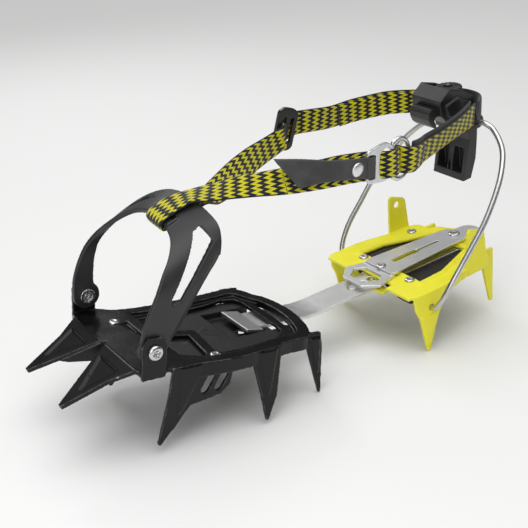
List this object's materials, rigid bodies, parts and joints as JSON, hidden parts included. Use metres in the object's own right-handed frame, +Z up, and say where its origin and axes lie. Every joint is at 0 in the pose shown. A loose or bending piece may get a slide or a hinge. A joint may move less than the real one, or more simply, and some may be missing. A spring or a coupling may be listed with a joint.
{
  "type": "crampon",
  "caption": "Walking crampon for one boot: black toothed front plate with plastic toe bail, steel link bar, lime heel plate, wire heel bail with lever and woven ankle strap.",
  "frame": {"origin": "centre of the ground under the crampon's bounding box", "axes": "+X from the toe to the heel, +Y to the inner side of the left foot, +Z up"},
  "size_m": [0.3018, 0.1052, 0.148],
  "materials": {
    "black_steel": "black semi-gloss powder coat, worn to bare steel on its cut edges",
    "lime_steel": "bright lime-yellow powder coat",
    "bar_steel": "brushed stainless sheet",
    "wire_steel": "drawn stainless wire",
    "ring_steel": "tumbled bright steel",
    "steel_rivets": "zinc-plated rivets and screws",
    "bail_plastic": "tough matte black plastic, faintly grained",
    "black_plastic": "matte black plastic",
    "lever_plastic": "matte black glass-filled nylon",
    "webbing": "black webbing woven with bright yellow zigzag rows",
    "tab_grey": "dark grey soft plastic tab"
  },
  "bodies": {
    "front_section": {"front_plate": "black_steel", "front_antiball_plate": "black_plastic", "front_rivets": "steel_rivets", "bail_screws": "steel_rivets", "bail_nuts": "steel_rivets", "strap_near_front": "webbing", "strap_far_front": "webbing"},
    "toe_bail": {"toe_bail": "bail_plastic", "strap_toe_loop": "webbing"},
    "link_bar": {"link_bar": "bar_steel"},
    "heel_section": {"heel_plate": "lime_steel", "heel_antiball_plate": "black_plastic", "heel_rivets": "steel_rivets", "adjuster_base": "bar_steel", "strap_near_rear": "webbing", "strap_far_rear": "webbing", "pull_tab": "tab_grey", "pull_tab_rivet": "steel_rivets", "ring_front": "ring_steel", "ring_rear": "ring_steel", "strap_slider": "black_plastic"},
    "adjuster_lever": {"adjuster_lever": "bar_steel", "adjuster_pin": "steel_rivets", "adjuster_rivet": "steel_rivets"},
    "wire_bail": {"wire_bail": "wire_steel"},
    "heel_lever": {"lever_pad": "lever_plastic", "lever_body": "lever_plastic", "adjusting_screw": "steel_rivets", "strap_lever_loop": "webbing"},
    "thumbwheel": {"thumbwheel": "lever_plastic"}
  },
  "joints": [
    {"name": "toe_bail_hinge", "type": "hinge", "parent": "front_section", "child": "toe_bail", "pos_m": [-0.10632, 0, 0.05938], "axis": [0, 1, 0], "range_deg": [-18, 12], "deforming": ["strap_near_front", "strap_far_front"]},
    {"name": "bar_flex", "type": "hinge", "parent": "front_section", "child": "link_bar", "pos_m": [-0.02048, 0, 0.0332], "axis": [0, 1, 0], "range_deg": [-2, 6], "stiffness_Nm_per_rad": 15, "deforming": ["strap_near_front", "strap_far_front"]},
    {"name": "size_slide", "type": "slide", "parent": "link_bar", "child": "heel_section", "axis": [0.9948, 0, 0.1016], "range_m": [-0.0156, 0.0156], "deforming": ["strap_near_front", "strap_far_front"]},
    {"name": "adjuster_lift", "type": "hinge", "parent": "heel_section", "child": "adjuster_lever", "pos_m": [0.13695, 0, 0.0472], "axis": [0, 1, 0], "range_deg": [0, 6], "stiffness_Nm_per_rad": 0.6, "springref_deg": -4.58},
    {"name": "heel_bail_hinge", "type": "hinge", "parent": "heel_section", "child": "wire_bail", "pos_m": [0.07563, 0, 0.02858], "axis": [0, 1, 0], "range_deg": [-16, 14], "deforming": ["strap_near_rear", "strap_far_rear"]},
    {"name": "heel_lever_pivot", "type": "hinge", "parent": "wire_bail", "child": "heel_lever", "pos_m": [0.13461, 0, 0.12426], "axis": [0, 1, 0], "range_deg": [-20, 30], "deforming": ["strap_near_rear", "strap_far_rear"]},
    {"name": "thumbwheel_turn", "type": "hinge", "parent": "heel_lever", "child": "thumbwheel", "pos_m": [0.12069, 0, 0.14244], "axis": [-0.1016, 0, 0.9948], "range_deg": [-720, 720]}
  ]
}
